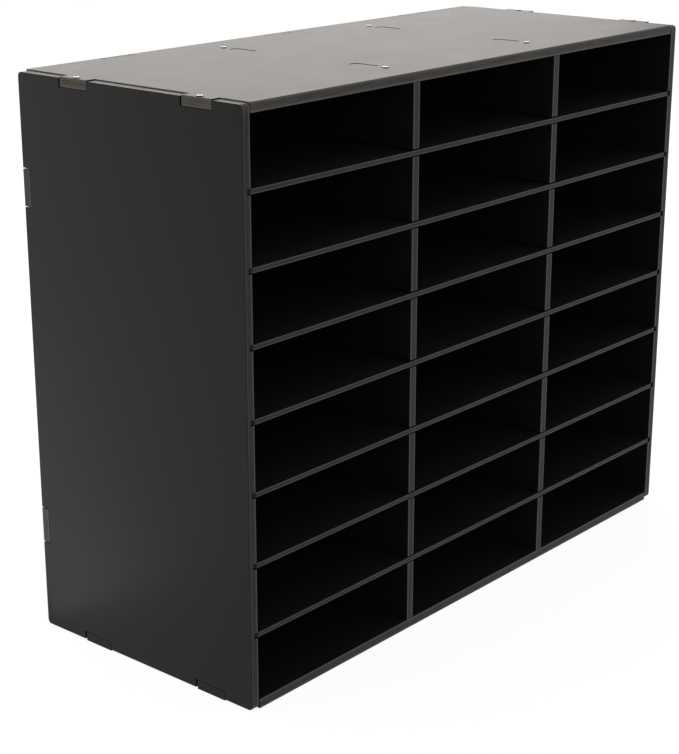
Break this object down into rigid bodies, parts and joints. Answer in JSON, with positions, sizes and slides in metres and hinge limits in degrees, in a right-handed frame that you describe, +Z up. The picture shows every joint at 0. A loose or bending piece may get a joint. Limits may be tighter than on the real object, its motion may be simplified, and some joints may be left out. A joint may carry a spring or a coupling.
{
  "type": "pigeonhole mail sorter",
  "caption": "Open-front pigeonhole mail sorter: a black flat-pack board case with upright dividers and crossing shelves that slide out to the front.",
  "frame": {"origin": "middle of the base, on the floor plane", "axes": "+X along the width to the right seen from the front, +Y from the open front to the back, +Z up"},
  "size_m": [0.737, 0.302, 0.596],
  "materials": {
    "case_board": "fibreboard with a smooth satin black coat, edges a little browner",
    "shelf_board": "thin fibreboard with a smooth satin black coat",
    "screw_zinc": "bright zinc plating"
  },
  "bodies": {
    "carcass": {"left_side_panel": "case_board", "right_side_panel": "case_board", "top_panel": "case_board", "bottom_panel": "case_board", "back_panel": "case_board", "divider_1": "case_board", "divider_2": "case_board", "top_left_front_screw": "screw_zinc", "top_left_rear_screw": "screw_zinc", "top_right_front_screw": "screw_zinc", "top_right_rear_screw": "screw_zinc", "top_divider_1_front_screw": "screw_zinc", "top_divider_1_rear_screw": "screw_zinc", "top_divider_2_front_screw": "screw_zinc", "top_divider_2_rear_screw": "screw_zinc", "back_top_screw_1": "screw_zinc", "back_top_screw_2": "screw_zinc", "back_top_screw_3": "screw_zinc", "bottom_left_front_screw": "screw_zinc", "bottom_left_rear_screw": "screw_zinc", "bottom_right_front_screw": "screw_zinc", "bottom_right_rear_screw": "screw_zinc", "bottom_divider_1_front_screw": "screw_zinc", "bottom_divider_1_rear_screw": "screw_zinc", "bottom_divider_2_front_screw": "screw_zinc", "bottom_divider_2_rear_screw": "screw_zinc", "back_bottom_screw_1": "screw_zinc", "back_bottom_screw_2": "screw_zinc", "back_bottom_screw_3": "screw_zinc", "back_left_lower_screw": "screw_zinc", "back_left_upper_screw": "screw_zinc", "back_right_lower_screw": "screw_zinc", "back_right_upper_screw": "screw_zinc"},
    "shelf_1": {"shelf_1": "shelf_board"},
    "shelf_2": {"shelf_2": "shelf_board"},
    "shelf_3": {"shelf_3": "shelf_board"},
    "shelf_4": {"shelf_4": "shelf_board"},
    "shelf_5": {"shelf_5": "shelf_board"},
    "shelf_6": {"shelf_6": "shelf_board"},
    "shelf_7": {"shelf_7": "shelf_board"}
  },
  "joints": [
    {"name": "shelf_1_slide", "type": "slide", "parent": "carcass", "child": "shelf_1", "axis": [0, -1, 0], "range_m": [0, 0.28]},
    {"name": "shelf_2_slide", "type": "slide", "parent": "carcass", "child": "shelf_2", "axis": [0, -1, 0], "range_m": [0, 0.28]},
    {"name": "shelf_3_slide", "type": "slide", "parent": "carcass", "child": "shelf_3", "axis": [0, -1, 0], "range_m": [0, 0.28]},
    {"name": "shelf_4_slide", "type": "slide", "parent": "carcass", "child": "shelf_4", "axis": [0, -1, 0], "range_m": [0, 0.28]},
    {"name": "shelf_5_slide", "type": "slide", "parent": "carcass", "child": "shelf_5", "axis": [0, -1, 0], "range_m": [0, 0.28]},
    {"name": "shelf_6_slide", "type": "slide", "parent": "carcass", "child": "shelf_6", "axis": [0, -1, 0], "range_m": [0, 0.28]},
    {"name": "shelf_7_slide", "type": "slide", "parent": "carcass", "child": "shelf_7", "axis": [0, -1, 0], "range_m": [0, 0.28]}
  ]
}
